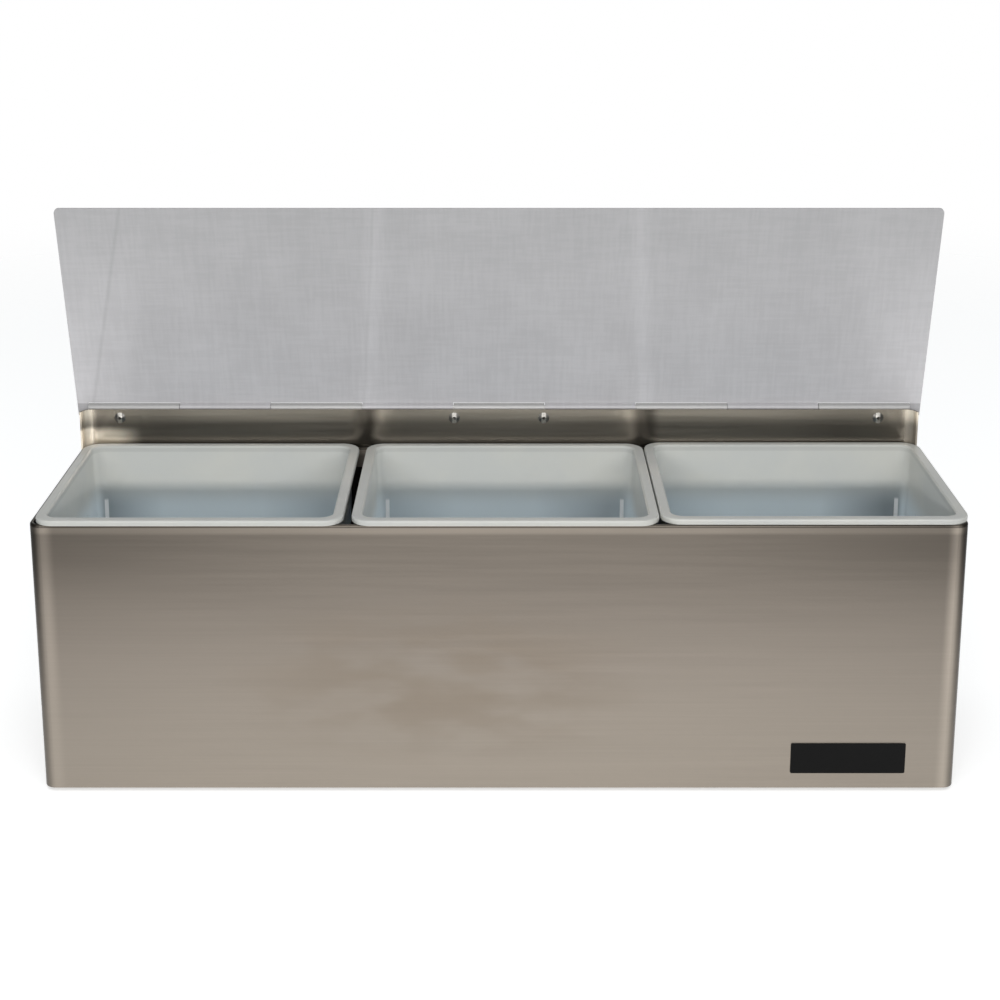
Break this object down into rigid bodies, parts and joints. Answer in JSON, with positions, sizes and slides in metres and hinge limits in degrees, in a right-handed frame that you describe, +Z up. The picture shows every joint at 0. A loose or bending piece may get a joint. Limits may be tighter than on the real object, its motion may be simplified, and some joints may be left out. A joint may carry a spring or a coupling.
{
  "type": "garnish tray",
  "caption": "Countertop garnish tray: a folded stainless steel box holding lift-out plastic inserts over an ice well, with a flat lid on a continuous rear hinge.",
  "frame": {"origin": "on the surface that the tray stands on, under the middle of the whole outline", "axes": "+X along the front from its left end to its right end, +Y from the front towards the hinge at the back, +Z up"},
  "size_m": [0.476, 0.1298, 0.2877],
  "materials": {
    "body_steel": "fine brushed stainless steel",
    "lid_steel": "smoother satin stainless steel",
    "hinge_steel": "plain rolled stainless steel",
    "rivet_aluminium": "bright blind rivet heads",
    "insert_plastic": "semi-gloss translucent white polypropylene",
    "badge_plastic": "plain black plate",
    "foot_rubber": "dull black rubber"
  },
  "bodies": {
    "housing": {"front_wrap": "body_steel", "back_panel": "body_steel", "base_pan": "body_steel", "rear_ledge": "body_steel", "hinge_leaf": "hinge_steel", "hinge_pin": "hinge_steel", "hinge_rivets": "rivet_aluminium", "insert_left": "insert_plastic", "insert_centre": "insert_plastic", "insert_right": "insert_plastic", "badge": "badge_plastic", "foot_front_left": "foot_rubber", "foot_front_right": "foot_rubber", "foot_back_left": "foot_rubber", "foot_back_right": "foot_rubber"},
    "lid": {"lid_panel": "lid_steel"}
  },
  "joints": [
    {"name": "lid_hinge", "type": "hinge", "parent": "housing", "child": "lid", "pos_m": [0, 0.06147, 0.1681], "axis": [-1, 0, 0], "range_deg": [-85.8, 51]}
  ]
}
